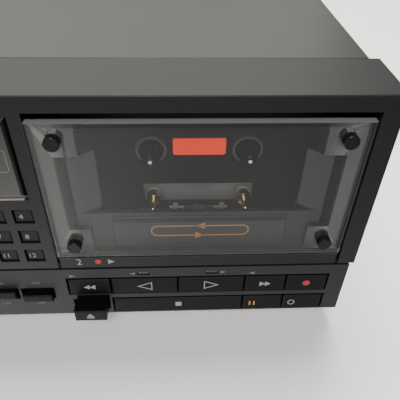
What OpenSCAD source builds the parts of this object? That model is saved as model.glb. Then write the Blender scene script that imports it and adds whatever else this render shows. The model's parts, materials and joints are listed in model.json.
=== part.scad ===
// Double cassette deck: a full-width hi-fi component with two tilting cassette
// doors, a display and a programme keypad between them, and transport keys below.
// Millimetres, +Z up, +X to the right as the user faces it, front towards -Y.
// The origin lies under the middle of the deck, on the surface its feet stand on.

/* [Case] */
// Width of the panel between the two door openings
centre_w = 156.3; // [154:0.1:180]
// Width of the panel outside each door opening
side_w = 7.85; // [7.5:0.05:14]
// Height of the panel above the door openings
top_bar_h = 6.7; // [5:0.1:14]
// Height of the lower, key-bearing panel
lower_h = 37.5; // [36:0.5:46]
// Depth from the panel's face to the back of the rear wall
body_d = 285; // [240:1:340]
// Depth of the moulded strip along the top of the panel
strip_d = 32.2; // [24:0.1:44]
// Thickness of the panel mouldings
panel_wall = 3; // [2.5:0.1:4]
// Thickness of the panel's top and side flanges
flange_t = 3.2; // [3.1:0.1:4]
// Chamfer along the panel's long edges
edge_cut = 0.4; // [0.3:0.1:1.5]
// Set-back of the lower panel behind the upper one
recess = 2.6; // [1.5:0.1:3]
// Height of the rebate along the lower panel's top, which leaves the doors room to tilt
rebate_h = 4.1; // [2:0.1:5]
// Depth of that rebate
rebate_d = 1.5; // [1.2:0.1:2]
// Step from the panel's side to the cover's side
cover_inset = 3; // [2:0.1:6]
// Thickness of the steel sheet
sheet_t = 1; // [0.8:0.1:1.5]
// Clearance between pieces of sheet that nest
sheet_gap = 0.2; // [0.1:0.05:0.5]
// Height of the pan's folded sides
pan_side_h = 22; // [16:1:40]
// Height of the feet
foot_h = 10; // [6:0.5:20]
// Diameter of the feet
foot_d = 38; // [25:1:60]
// Distance from the case's side to a foot's axis
foot_in_x = 46; // [35:1:80]
// Distance from the case's front or rear to a foot's axis
foot_in_y = 44; // [35:1:80]
// Diameter of the case screws' heads
screw_head_d = 7.4; // [6:0.2:9]
// Diameter of the case screws' shanks
screw_d = 4; // [3:0.5:5]

/* [Doors] */
// Width of a door opening
opening_w = 129; // [128:0.1:136]
// Gap at each side of a door
door_gap = 0.4; // [0.3:0.05:1.5]
// Height of the clear plate
plate_h = 68.3; // [67:0.1:70]
// Thickness of the clear plate
plate_t = 3.9; // [3:0.1:5]
// Gap from the top of the opening to the clear plate
plate_drop = 4.3; // [3:0.1:6]
// Bevel along the clear plate's sides and foot
plate_bevel = 0.8; // [0.5:0.1:2]
// Bevel along the clear plate's top
plate_top_bevel = 0.2; // [0.1:0.1:2]
// Gap between the clear plate and the strip below it
plate_gap = 0.1; // [0.1:0.1:1]
// Height of the strip below the clear plate
strip_h = 5; // [4:0.1:7]
// Distance from the clear plate's side to the strip's end
strip_in = 1.1; // [0.5:0.1:2]
// Set-back of the door's lower strip behind the clear plate's face
strip_back = 0.1; // [0.1:0.1:1]
// Gap between the bottom of a door and the lower panel
door_lift = 1.3; // [1.1:0.1:2]
// Thickness of the door's moulded face
face_t = 3; // [2:0.1:4]
// Distance from the clear plate's top down to the moulded face's top
face_drop = 1.7; // [0.3:0.1:3]
// Diameter of the studs that hold the clear plate
stud_d = 6.1; // [5:0.1:8]
// Height of a stud's cap in front of the clear plate
stud_out = 3; // [1:0.1:4]
// Diameter of a stud's shank
stud_shank_d = 3.2; // [2:0.1:4]
// Distance from the clear plate's side to a stud's axis
stud_in_x = 9.4; // [6:0.1:11]
// Distance from the clear plate's top to the upper studs' axes
stud_top_in = 6.9; // [6:0.1:10]
// Distance from the clear plate's lower edge to the lower studs' axes
stud_foot_in = 8.8; // [6:0.1:10]
// Distance from the clear plate's side to the door's window
window_side = 16.2; // [15:0.1:18]
// Distance from the clear plate's side to the window's middle band
window_mid_side = 6.8; // [6:0.1:8]
// Distance from the clear plate's lower edge to the window's middle band
window_foot = 13.6; // [12:0.1:15]
// Distance from the clear plate's top to the window
window_top = 5.2; // [4:0.1:8]
// Height of the window above its middle band
window_step_h = 11.5; // [9:0.1:13]
// Depth of the door's pivot behind the panel's face
hinge_y = 4.5; // [4:0.1:5.5]
// Height of the door's pivot above the lower panel
hinge_up = 3; // [3:0.1:3.6]
// Diameter of the door's pivot pins
pin_d = 3.8; // [3:0.1:4]
// Length of a pivot pin
pin_len = 4; // [3:0.1:4.4]

/* [Cassette pocket] */
// Width of a cassette
tape_w = 100.4; // [100.4:0.1:101]
// Thickness of a cassette
tape_t = 12; // [12:0.1:12.4]
// Distance from a cassette's hubs to its lower edge
tape_low = 34.6; // [34:0.1:35]
// Clearance round a cassette in the pocket
tape_gap = 0.6; // [0.4:0.1:1]
// Wall of the pocket
pocket_wall = 2; // [1.6:0.1:2.4]
// Thickness of the pocket's side arms
arm_t = 2.7; // [2.4:0.1:5]
// Height of the pocket's front wall above the cassette's lower edge
trough_h = 14.4; // [10:0.1:16]
// Width of the raised panel on the pocket's front wall
badge_w = 77; // [60:1:90]
// Width of the opening in the pocket's floor
floor_gap_w = 64; // [62:1:72]
// Reach of the front tabs over the cassette's sides
tab_reach = 8.6; // [5:0.1:10]
// Drop of a tab's edges from its free end to the pocket's side
tab_slant = 3.3; // [0:0.1:5]

/* [Mechanism] */
// Distance between a cassette's two reels
reel_gap = 42.5; // [42.5:0.1:43]
// Height of the reels' axes above the door opening's lower edge
reel_up = 47.1; // [46:0.1:48]
// Depth of the spindles' tips behind the panel's face
tip_y = 15.7; // [15:0.1:17]
// Diameter of a spindle's flange
hub_d = 10; // [9:0.1:12]
// Diameter over a spindle's vanes
vane_d = 8.4; // [7:0.1:8.8]
// Diameter of a spindle's shaft
spindle_d = 4; // [3:0.1:5]
// Depth of the mechanism's front plate
mech_y = 26; // [26:0.1:27]
// Thickness of the mechanism's front plate
mech_t = 2.5; // [2:0.1:3]
// Width of the head opening in that plate
head_open_w = 52; // [50:0.5:54]
// Reach of the raised sill past each side of the head opening
sill_past = 10; // [4:0.5:12]
// Height of the head opening
head_open_h = 12.5; // [11:0.1:13]
// Distance from the reels' axes down to the capstans
capstan_drop = 26; // [25.5:0.1:26.5]
// Diameter of a capstan
capstan_d = 2.4; // [2:0.1:2.6]
// Diameter of a capstan's collar
collar_d = 6.4; // [5:0.1:6.6]
// Diameter of a flywheel
flywheel_d = 34; // [28:1:40]
// Diameter of a pinch roller
roller_d = 11; // [9:0.1:11.4]
// Width of the head carriage's plate
carriage_w = 58; // [56:0.5:60]
// Width of the tape head
tape_head_w = 14; // [10:0.5:16]
// Distance between the tape guides at either side of the head
guide_gap = 22; // [18:0.5:26]
// Travel of the heads when they rise into the cassette
head_travel = 3.8; // [3:0.1:4]
// Width of the lamp window between the spindles
lamp_w = 23.3; // [18:0.1:28]
// Height of the lamp window
lamp_h = 8.2; // [6:0.1:12]
// Corner radius of the lamp window
lamp_r = 1.2; // [0.5:0.1:2]
// Diameter of a drive motor
motor_d = 26; // [22:1:32]
// Length of a drive motor
motor_l = 26; // [20:1:40]

/* [Transport keys] */
// Width of a narrow transport key's cell
key_narrow = 20.5; // [19:0.1:20.8]
// Width of a wide transport key's cell
key_wide = 32.6; // [30:0.1:32.8]
// Height of the upper key row's aperture
row1_h = 12.2; // [11:0.1:12.6]
// Height of the upper key row above the panel's lower edge
row1_z = 15.1; // [14.9:0.1:16]
// Height of the lower key row's aperture
row2_h = 11.1; // [10:0.1:11.3]
// Height of the lower key row above the panel's lower edge
row2_z = 1.3; // [1.2:0.1:1.6]
// Clearance round a key
key_clear = 0.4; // [0.3:0.05:0.6]
// Gap above a transport key
key_gap_top = 1.3; // [0.4:0.1:1.6]
// Chamfer round a key's face
key_cut = 0.5; // [0.2:0.1:0.8]
// Travel of a transport key
key_travel = 1.5; // [1:0.1:2]
// Height of the hook that keeps a key behind the panel
hook_h = 1.2; // [0.8:0.1:1.3]
// Width of a key's stem
stem_w = 4; // [3:0.1:6]
// Length of a key's stem behind the panel
stem_l = 6; // [4:0.1:8]
// Width of an eject bar
eject_w = 15.4; // [12:0.1:16]
// Height of an eject bar
eject_h = 7.3; // [5:0.1:7.6]
// Height of an eject bar above the panel's lower edge
eject_z = 4; // [3.6:0.1:4.4]
// Reach of an eject bar in front of the panel's face
eject_out = 5; // [3:0.1:7]
// Travel of an eject bar
eject_travel = 4; // [2:0.1:5]
// Width of a direction lamp's slot
led_w = 6; // [4:0.1:8]
// Height of a direction lamp's slot
led_h = 2.2; // [1.5:0.1:3]

/* [Keypad] */
// Spacing of the number keys across
pad_pitch = 11.5; // [11:0.1:11.8]
// Width of a number key's well
well_w = 8.3; // [7:0.1:8.6]
// Height of a number key's well
well_h = 7.5; // [6:0.1:8.4]
// Distance from the door opening to the keypad
pad_in = 4.6; // [4.4:0.1:6]
// Height of the keypad's lowest well above the lower panel
pad_up = 4.7; // [4:0.1:6]
// Distance from the keypad's highest wells up to the display
pad_to_display = 5.2; // [2:0.1:6]
// Set-back of a number key's face in its well
pad_back = 0.6; // [0.2:0.1:1]
// Gap above a number key
pad_gap_top = 1; // [0.4:0.1:1.4]
// Travel of a number key
pad_travel = 1; // [0.6:0.1:1.4]

/* [Controls] */
// Gap between the display and the door openings
display_in = 4.6; // [4.4:0.1:10]
// Height of the display window
display_h = 37.3; // [30:0.1:37.6]
// Bevel round the front of the display window
display_bevel = 2.4; // [0.3:0.1:2.6]
// Distance from the display's top to the top of the door openings
display_drop = 1.3; // [1:0.1:2]
// Clearance round the display window
display_gap = 0.15; // [0.1:0.05:0.4]
// Width of a selector lever
lever_w = 14.2; // [12:0.1:14.4]
// Height of a selector lever
lever_h = 4.6; // [4:0.1:5]
// Spacing of the two selector levers
lever_pitch = 17; // [16.8:0.1:18]
// Distance from the door opening to the nearer lever's axis
lever_in = 13.8; // [13:0.1:15]
// Height of the lever slots' lower edge
lever_z = 12.9; // [12:0.1:14]
// Rise of a lever's tip between its two stops
lever_rise = 2.7; // [2:0.1:2.8]
// Depth of the levers' pivots
lever_y = 15; // [14:0.1:17]
// Diameter of the recording level dial
dial_d = 24; // [18:0.5:28]
// Reach of the dial in front of the panel's face
dial_out = 9; // [5:0.1:14]
// Diameter of the dial's shaft
dial_shaft_d = 6; // [5:0.1:6.4]
// Length of the dial's bush behind the lower panel
bush_l = 6; // [4:0.5:8]
// Distance of the dial's axis from the panel's middle
dial_x = 6; // [0:0.5:10]
// Distance of the power key's middle from the panel's middle, to the left
power_x = 36; // [32:0.5:40]
// Distance of the headphone socket from the panel's middle, to the left
phones_x = 62; // [58:0.5:66]
// Length of the headphone socket behind the panel
phones_l = 20; // [16:1:26]
// Diameter of the headphone socket's bore
phones_d = 6.5; // [6.4:0.05:6.6]

/* [Inside] */
// Width of the main circuit board
main_w = 230; // [180:1:260]
// Depth of the main circuit board
main_d = 130; // [100:1:140]
// Height of the main circuit board above the floor
main_z = 9; // [6:0.5:15]
// Distance from the rear wall to the main circuit board
main_in = 29; // [20:1:40]
// Reach of the control board past the power key's middle
control_past_power = 16; // [14:0.5:20]
// Reach of the control board past the dial's axis
control_past_dial = 14; // [12:0.5:18]
// Distance from the dial's axis to the control board's right post
control_post_in = 18; // [16:0.5:20]
// Thickness of the circuit boards
board_t = 1.6; // [1:0.1:2]
// Width of the mains transformer's core
core_w = 60; // [40:1:70]
// Depth of the mains transformer's core
core_d = 54; // [40:1:60]
// Height of the mains transformer's core
core_h = 45; // [30:1:60]
// Diameter of the main board's capacitors
can_d = 14; // [8:1:18]
// Width of a vent slot in the floor
vent_w = 4; // [3:0.5:5]
// Length of a vent slot
vent_l = 36; // [20:1:40]
// Spacing of the vent slots
vent_pitch = 12; // [8:0.5:13]

/* [Rear] */
// Distance from the top strip to the cover's front screws
cover_screw_front = 40; // [30:1:60]
// Distance from the rear wall to the cover's rear screws
cover_screw_rear = 50; // [40:1:70]
// Distance from the pan's side to the outer rear screws
rear_screw_in = 40; // [30:1:60]
// Distance from the pan's side to the phono sockets' middle
phono_in = 62; // [50:1:80]
// Height of the phono sockets' middle above the floor
phono_z = 46; // [40:1:60]
// Distance from the pan's side to the mains gland
gland_in = 60; // [40:1:80]
// Height of the mains gland above the floor
gland_z = 30; // [20:1:40]
// Reach of the phono sockets behind the rear wall
phono_out = 9; // [7:0.1:12]
// Outer diameter of a phono socket
phono_d = 8.3; // [8.2:0.05:8.5]
// Diameter of a phono socket's hole
phono_hole_d = 3.3; // [3.2:0.05:3.5]
// Spacing of the phono sockets
phono_pitch = 16; // [14:0.5:20]
// Bore of the mains gland
gland_bore_d = 7; // [6:0.1:8]

/* [Hidden] */
$fn = 48;

// Radial clearance of a shaft in its bearing
run_gap = 0.06;
// Clearance of a shank in its hole
hole_gap = 0.1;
// Overlap that makes a cut pass a face cleanly
eps = 0.5;

// Overall sizes and the frame's place
panel_w = centre_w + 2 * (opening_w + side_w);
opening_h = plate_h + plate_drop + plate_gap + strip_h + door_lift;
panel_h = lower_h + opening_h + top_bar_h;
door_x = (centre_w + opening_w) / 2;
base_z = foot_h + sheet_t;
front_y = (dial_out - body_d - phono_out) / 2;
lower_w = panel_w - 0.7;
lower_back = recess + panel_wall;
cover_w = panel_w - 2 * cover_inset;
pan_w = cover_w - 2 * (sheet_t + sheet_gap);
cover_seam = 0.4;
cover_back = body_d + sheet_gap + sheet_t;
cover_lip_h = 14;

// Screws and rear sockets
cover_screw_y = [strip_d + cover_screw_front, body_d - cover_screw_rear];
cover_screw_z = pan_side_h - 8;
rear_screw_x = [-pan_w / 2 + rear_screw_in, 0, pan_w / 2 - rear_screw_in];
rear_screw_z = panel_h - cover_lip_h / 2;
phono_x = pan_w / 2 - phono_in;
gland_x = -pan_w / 2 + gland_in;
gland_d = gland_bore_d + 6;
vent_y = body_d - main_in;

// Door levels, above the panel's lower edge
opening_top = lower_h + opening_h;
plate_top = opening_top - plate_drop;
plate_z = plate_top - plate_h;
plate_w = opening_w - 2 * door_gap;
door_z = lower_h + door_lift;
hinge_z = lower_h + hinge_up;
face_back = plate_t + face_t;
window_high = plate_top - window_top;
window_mid_top = window_high - window_step_h;
window_mid_z = plate_z + window_foot;
window_w = plate_w - 2 * window_side;
window_mid_w = plate_w - 2 * window_mid_side;

// Pocket and mechanism levels
reel_z = lower_h + reel_up;
tape_z = reel_z - tape_low;
pocket_front = face_back + pocket_wall;
pocket_back = pocket_front + tape_t + tape_gap;
pocket_half = tape_w / 2 + tape_gap;
capstan_z = reel_z - capstan_drop;
head_open_z = capstan_z - 5;
chassis_y = mech_y + mech_t + 2.5;
chassis_t = 1.5;
post_t = 3;
rest_x = 0.38 * tape_w;
rest_z = opening_top - 10;
mech_half = opening_w / 2 + post_t + 0.5;
roller_z = capstan_z - (capstan_d + roller_d) / 2 - head_travel - 0.3;
lamp_z = reel_z + 1.3;

// Key grid, from a door's middle
key_span = 3 * key_narrow + 2 * key_wide;
cell_edges = [
    -key_span / 2,
    -key_span / 2 + key_narrow,
    -key_span / 2 + key_narrow + key_wide,
    -key_span / 2 + key_narrow + 2 * key_wide,
    -key_span / 2 + 2 * key_narrow + 2 * key_wide,
    key_span / 2
];
row1_mid = row1_z + (row1_h + key_clear - key_gap_top) / 2;
row2_mid = row2_z + (row2_h + key_clear - key_gap_top) / 2;
function cell_mid(i) = (cell_edges[i] + cell_edges[i + 1]) / 2;
key_proud = 0.2;
key_stem_y = lower_back + stem_l;
hook_gap = 0.3;
hook_t = 1.3;
board_y = key_stem_y + key_travel + 2;
eject_x = cell_edges[0] + 10;

// Controls
display_w = centre_w - 2 * display_in;
display_z = opening_top - display_drop - display_h;
pad_rise = (display_z - pad_to_display - well_h - lower_h - pad_up) / 2;
lever_slot_h = lever_h + lever_rise + 0.5;
lever_arm_w = lever_w - 3.4;
dial_z = lower_h / 2;
dial_back = board_y - 1.5;
power_w = 20;
power_h = 10;

// A box given by its two corners
module block(x0, x1, y0, y1, z0, z1) {
    translate([x0, y0, z0]) cube([x1 - x0, y1 - y0, z1 - z0]);
}

// A cylinder along X, Y or Z
module rod_x(y, z, x0, x1, r) {
    translate([x0, y, z]) rotate([0, 90, 0]) cylinder(h = x1 - x0, r = r);
}
module rod_y(x, z, y0, y1, r) {
    translate([x, y0, z]) rotate([-90, 0, 0]) cylinder(h = y1 - y0, r = r);
}
module rod_z(x, y, z0, z1, r) {
    translate([x, y, z0]) cylinder(h = z1 - z0, r = r);
}

// A (y, z) outline carried along X, and an (x, y) outline carried up Z
module along_x(x0, x1) {
    translate([x0, 0, 0]) rotate([90, 0, 90]) linear_extrude(x1 - x0) children();
}
module along_z(z0, z1) {
    translate([0, 0, z0]) linear_extrude(z1 - z0) children();
}
// An (x, z) outline carried along Y
module along_y(y0, y1) {
    translate([0, y1, 0]) rotate([90, 0, 0]) linear_extrude(y1 - y0) children();
}
// A (radius, y) outline turned about an axis along Y
module turned_y(x, z) {
    translate([x, 0, z]) rotate([-90, 0, 0]) rotate_extrude() children();
}

// Places: x from the middle, y back from the panel's face, z up from its lower edge
module on_panel() {
    translate([0, front_y, base_z]) children();
}
module on_deck(side) {
    translate([side * door_x, front_y, base_z]) children();
}
module both_decks() {
    for (side = [-1, 1]) translate([side * door_x, 0, 0]) children();
}

// A plate in the x-z plane with a chamfer round its front face
module bevelled_plate(w, h, y0, y1, cut, top_cut = 0) {
    upper_cut = top_cut > 0 ? top_cut : cut;
    intersection() {
        along_z(-h / 2, h / 2) polygon([
            [-w / 2 + cut, y0], [w / 2 - cut, y0], [w / 2, y0 + cut],
            [w / 2, y1], [-w / 2, y1], [-w / 2, y0 + cut]
        ]);
        along_x(-w / 2, w / 2) polygon([
            [y0, -h / 2 + cut], [y0, h / 2 - upper_cut], [y0 + upper_cut, h / 2],
            [y1, h / 2], [y1, -h / 2], [y0 + cut, -h / 2]
        ]);
    }
}

// A plate in the x-z plane with rounded corners
module rounded_plate(w, h, y0, y1, r) {
    union() {
        block(-w / 2 + r, w / 2 - r, y0, y1, -h / 2, h / 2);
        block(-w / 2, w / 2, y0, y1, -h / 2 + r, h / 2 - r);
        for (x = [-1, 1], z = [-1, 1]) rod_y(x * (w / 2 - r), z * (h / 2 - r), y0, y1, r);
    }
}

// Case

module pan_screw_holes(r) {
    for (side = [-1, 1]) for (y = cover_screw_y)
        rod_x(y, cover_screw_z, side * panel_w / 2 - 12, side * panel_w / 2 + 12, r);
    for (x = rear_screw_x) rod_y(x, rear_screw_z, body_d - 8, body_d + 8, r);
}

module chassis_pan() {
    rear_top = panel_h - sheet_t - sheet_gap;
    color("dimgray") on_panel() difference() {
        union() {
            block(-pan_w / 2, pan_w / 2, lower_back, body_d, -sheet_t, 0);
            for (side = [0, 1]) mirror([side, 0, 0])
                block(pan_w / 2 - sheet_t, pan_w / 2, strip_d + 2, body_d, -sheet_t, pan_side_h);
            block(-pan_w / 2, pan_w / 2, body_d - sheet_t, body_d, -sheet_t, rear_top);
            block(-pan_w / 2, pan_w / 2, body_d - 14, body_d, rear_top - sheet_t, rear_top);
        }
        pan_screw_holes(screw_d / 2 + hole_gap);
        for (i = [-4 : 4]) translate([i * vent_pitch, vent_y - 2 * vent_l, 0])
            block(-vent_w / 2, vent_w / 2, 0, vent_l, -sheet_t - eps, eps);
        for (i = [0, 1], j = [0, 1]) rod_y(
            phono_x + (i - 0.5) * phono_pitch, phono_z + (j - 0.5) * phono_pitch,
            body_d - 4, body_d + 4, phono_d / 2 + hole_gap);
        rod_y(gland_x, gland_z, body_d - 4, body_d + 4, gland_d / 2 + hole_gap);
    }
}

module top_cover() {
    half = cover_w / 2;
    bend = 1.2;
    color("#33353a") on_panel() difference() {
        union() {
            along_y(strip_d + cover_seam, cover_back) polygon([
                [-half, 1], [-half, panel_h - bend], [-half + bend, panel_h],
                [half - bend, panel_h], [half, panel_h - bend], [half, 1],
                [half - sheet_t, 1], [half - sheet_t, panel_h - sheet_t],
                [-half + sheet_t, panel_h - sheet_t], [-half + sheet_t, 1]
            ]);
            // Lip folded down over the rear wall
            block(-half + sheet_t, half - sheet_t, cover_back - sheet_t, cover_back,
                panel_h - cover_lip_h, panel_h - sheet_t + 0.1);
        }
        pan_screw_holes(screw_d / 2 + hole_gap);
    }
}

// Middle of the well of number key i, counted along the rows from the top left
function well_x(i) = centre_w / 2 - pad_in - well_w / 2 - (3 - (i - 1) % 4) * pad_pitch;
function well_z(i) = lower_h + pad_up + well_h / 2 + (2 - floor((i - 1) / 4)) * pad_rise;

module hinge_bosses() {
    boss_w = pin_len;
    boss_top = hinge_z + pin_d / 2 + 2;
    boss_back = hinge_y + pin_d / 2 + 1.8;
    for (side = [0, 1]) mirror([side, 0, 0])
        block(opening_w / 2, opening_w / 2 + boss_w, panel_wall - eps, boss_back, lower_h, boss_top);
}

// Posts behind the panel that carry a mechanism's front plate
module mechanism_posts() {
    post_h = 8;
    for (side = [0, 1]) mirror([side, 0, 0]) for (z = [hinge_z + post_h, opening_top - post_h - 1])
        block(opening_w / 2 + 0.4, opening_w / 2 + 0.4 + post_t, panel_wall - eps, mech_y, z, z + post_h);
}

module upper_fascia() {
    color("#1d1f20") on_panel() difference() {
        union() {
            along_x(-panel_w / 2, panel_w / 2) polygon([
                [0, lower_h], [panel_wall, lower_h],
                [panel_wall, panel_h - flange_t], [strip_d, panel_h - flange_t],
                [strip_d, panel_h], [edge_cut, panel_h], [0, panel_h - edge_cut]
            ]);
            for (side = [0, 1]) mirror([side, 0, 0])
                block(panel_w / 2 - flange_t, panel_w / 2, edge_cut, strip_d,
                    lower_h, panel_h - edge_cut);
            both_decks() hinge_bosses();
            both_decks() mechanism_posts();
        }
        both_decks() {
            block(-opening_w / 2, opening_w / 2, -eps, panel_wall + eps, lower_h - eps, opening_top);
            rod_x(hinge_y, hinge_z, -opening_w / 2 - pin_len - eps, opening_w / 2 + pin_len + eps,
                pin_d / 2 + run_gap);
        }
        block(-display_w / 2 - display_gap, display_w / 2 + display_gap, -eps, panel_wall + eps,
            display_z - display_gap, display_z + display_h + display_gap);
        for (i = [1 : 12]) translate([well_x(i), 0, well_z(i)])
            block(-well_w / 2, well_w / 2, -eps, panel_wall + eps, -well_h / 2, well_h / 2);
    }
}

// Aperture for the keys in cells first to last of one row
module row_aperture(first, last, z, h) {
    block(cell_edges[first] - key_clear, cell_edges[last + 1] + key_clear,
        recess - eps, lower_back + eps, z, z + h);
}
module eject_aperture() {
    slot_half = eject_w / 2 + 1.2;
    block(eject_x - slot_half, eject_x + slot_half, recess - eps, lower_back + eps,
        eject_z - key_clear, eject_z + eject_h + key_clear);
    block(eject_x - slot_half + 2.4, eject_x + slot_half, recess - eps, lower_back + eps,
        eject_z, eject_z + eject_h + 3.2);
}
module led_slots() {
    for (x = [cell_mid(1), cell_mid(2)]) block(x - led_w / 2, x + led_w / 2, recess - eps, recess + 1,
        lower_h - 8.8, lower_h - 8.8 + led_h);
}

function lever_x(i) = centre_w / 2 - lever_in - (2 - i) * lever_pitch;
// The first lever stands at its upper stop and the second at its lower one
function lever_rest_z(i) = lever_z + 0.25 + lever_h / 2 + (i == 1 ? lever_rise : 0);

module lever_ears(i) {
    ear_in = lever_arm_w / 2 + 0.3;
    ear_t = 2.2;
    translate([lever_x(i), 0, 0]) for (side = [0, 1]) mirror([side, 0, 0]) difference() {
        block(ear_in, ear_in + ear_t, lower_back - eps, lever_y + 3.2,
            lever_z - 2, lever_z + lever_slot_h + 2);
        rod_x(lever_y, lever_rest_z(i), ear_in - eps, ear_in + ear_t + eps, 1.5 + run_gap);
    }
}

module lower_fascia() {
    lip = 12;
    half = lower_w / 2;
    bush_back = lower_back + bush_l;
    color("#26292a") on_panel() difference() {
        union() {
            along_x(-half, half) polygon([
                [recess + edge_cut, 0], [recess + lip, 0], [recess + lip, 1],
                [lower_back, 1], [lower_back, lower_h - 2], [recess + lip, lower_h - 2],
                [recess + lip, lower_h], [recess + rebate_d, lower_h],
                [recess + rebate_d, lower_h - rebate_h], [recess, lower_h - rebate_h],
                [recess, edge_cut]
            ]);
            for (side = [0, 1]) mirror([side, 0, 0])
                block(half - flange_t, half, recess + rebate_d, strip_d, edge_cut, lower_h);
            for (i = [1, 2]) lever_ears(i);
            rod_y(dial_x, dial_z, lower_back - eps, bush_back, dial_shaft_d / 2 + 3);
        }
        translate([-door_x, 0, 0]) {
            row_aperture(0, 3, row1_z, row1_h);
            row_aperture(1, 2, row2_z, row2_h);
            eject_aperture();
            led_slots();
        }
        translate([door_x, 0, 0]) {
            row_aperture(0, 4, row1_z, row1_h);
            row_aperture(1, 4, row2_z, row2_h);
            eject_aperture();
            led_slots();
        }
        for (i = [1, 2]) translate([lever_x(i), 0, lever_z])
            block(-lever_w / 2 - 0.8, lever_w / 2 + 0.8, recess - eps, lower_back + eps, 0, lever_slot_h);
        rod_y(dial_x, dial_z, recess - eps, bush_back + eps, dial_shaft_d / 2 + run_gap);
        rod_y(-phones_x, dial_z, recess - eps, lower_back + eps, phones_d / 2 + 1.6 + hole_gap);
        translate([-power_x, 0, dial_z])
            block(-power_w / 2 - key_clear, power_w / 2 + key_clear, recess - eps, lower_back + eps,
                -power_h / 2 - key_clear, power_h / 2 + key_clear);
    }
}

module display_window() {
    flange = 0.6;
    flange_front = panel_wall;
    color("#3a4042") on_panel() translate([0, 0, display_z + display_h / 2]) union() {
        bevelled_plate(display_w, display_h, 0, flange_front + 0.1, display_bevel);
        block(-display_w / 2 - flange, display_w / 2 + flange, flange_front, flange_front + 1.4,
            -display_h / 2 - flange, display_h / 2 + flange);
    }
}

module feet() {
    r = foot_d / 2;
    color("#141414") for (x = [-1, 1], y = [0, 1]) translate([
        x * (panel_w / 2 - foot_in_x),
        front_y + (y == 0 ? foot_in_y : body_d - foot_in_y), 0])
        rotate_extrude() polygon([
            [0, 1], [r - 5, 1], [r - 4, 0], [r - 1.5, 0], [r, 1.5],
            [r - 2, foot_h], [0, foot_h]
        ]);
}

// One case screw with its head's seat at the origin and its shank along +Z
module case_screw() {
    r = screw_head_d / 2;
    rotate_extrude() polygon([
        [0, -2.2], [r - 1.2, -2.2], [r, -1], [r, 0], [screw_d / 2, 0], [screw_d / 2, 6], [0, 6]
    ]);
}
module case_screws() {
    color("#202020") on_panel() {
        for (side = [0, 1], y = cover_screw_y) mirror([side, 0, 0])
            translate([cover_w / 2, y, cover_screw_z]) rotate([0, -90, 0]) case_screw();
        for (x = rear_screw_x) translate([x, cover_back, rear_screw_z]) rotate([90, 0, 0]) case_screw();
    }
}

module sockets() {
    plate_half_w = phono_pitch / 2 + 12;
    plate_half_h = phono_pitch / 2 + 10;
    phones_r = phones_d / 2 + 1.6;
    color("#1a1a1a") on_panel() {
        difference() {
            union() {
                block(phono_x - plate_half_w, phono_x + plate_half_w, body_d, body_d + 1.6,
                    phono_z - plate_half_h, phono_z + plate_half_h);
                for (i = [0, 1], j = [0, 1]) rod_y(
                    phono_x + (i - 0.5) * phono_pitch, phono_z + (j - 0.5) * phono_pitch,
                    body_d - 6, body_d + phono_out, phono_d / 2);
            }
            for (i = [0, 1], j = [0, 1]) rod_y(
                phono_x + (i - 0.5) * phono_pitch, phono_z + (j - 0.5) * phono_pitch,
                body_d - 2, body_d + phono_out + eps, phono_hole_d / 2);
        }
        difference() {
            turned_y(gland_x, gland_z) polygon([
                [0, body_d - 8], [gland_d / 2, body_d - 8], [gland_d / 2, body_d],
                [gland_d / 2 + 2.5, body_d], [gland_d / 2 + 2.5, body_d + 3],
                [gland_d / 2 - 0.5, body_d + 7], [0, body_d + 7]
            ]);
            rod_y(gland_x, gland_z, body_d - 9, body_d + 8, gland_bore_d / 2);
        }
        difference() {
            turned_y(-phones_x, dial_z) polygon([
                [0, recess - 1.6], [phones_r + 1.2, recess - 1.6], [phones_r + 2.2, recess - 0.6],
                [phones_r + 2.2, recess], [phones_r, recess], [phones_r, lower_back + phones_l],
                [0, lower_back + phones_l]
            ]);
            rod_y(-phones_x, dial_z, recess - 3, lower_back + phones_l - 2, phones_d / 2);
        }
    }
}

// A push switch on a key board
module key_switch(x, z) {
    block(x - 3, x + 3, board_y - 1.4, board_y + 0.1, z - 3, z + 3);
}

module circuit_boards() {
    post_d = 8;
    main_y = body_d - sheet_t - main_in - main_d;
    core_x = -main_w / 2 + post_d + core_w / 2;
    core_y = main_y + main_d / 2 + post_d;
    core_z = main_z + board_t;
    // Key boards stand on posts behind the lower panel
    color("#6b5a2e") on_panel() {
        both_decks() {
            block(-key_span / 2, key_span / 2, board_y, board_y + board_t, row2_z + 1, lower_h - 4);
            for (side = [-1, 1]) block(
                side * (key_span / 2 - 2) - 2, side * (key_span / 2 - 2) + 2,
                lower_back, board_y + 0.1, lower_h - 8.2, lower_h - 4.2);
            for (i = [0 : 4]) key_switch(cell_mid(i), row1_mid);
            for (x = [cell_edges[2], cell_mid(3), cell_mid(4)]) key_switch(x, row2_mid);
        }
        // Board of the power switch and the level control
        block(-power_x - control_past_power, dial_x + control_past_dial, board_y, board_y + board_t,
            row2_z + 1, lower_h - 4);
        for (x = [-power_x - control_past_power + 2, dial_x - control_post_in])
            block(x - 2, x + 2, lower_back, board_y + 0.1, lower_h - 8.2, lower_h - 4.2);
        key_switch(-power_x, dial_z);
        block(dial_x - 8, dial_x + 8, dial_back + 0.3, board_y + 0.1, dial_z - 8, dial_z + 8);
        // Main board on its posts, with the mains transformer at its left end
        block(-main_w / 2, main_w / 2, main_y, main_y + main_d, main_z, main_z + board_t);
        for (x = [-1, 1], y = [-1, 1]) rod_z(x * (main_w / 2 - post_d),
            main_y + main_d / 2 + y * (main_d / 2 - post_d), 0, main_z + 0.1, post_d / 2);
        translate([core_x, core_y, core_z]) {
            block(-core_w / 2, core_w / 2, -core_d / 2, core_d / 2, -0.1, core_h);
            // Winding, standing out of the core at its front and back
            block(-core_w / 4, core_w / 4, -0.65 * core_d, 0.65 * core_d, core_h / 4, core_h * 3 / 4);
        }
        for (i = [0 : 4]) rod_z(i * 1.7 * can_d, main_y + main_d * (0.25 + 0.35 * (i % 2)),
            core_z - 0.1, core_z + 1.6 * can_d, can_d / 2);
    }
}

// Cassette doors

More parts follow.
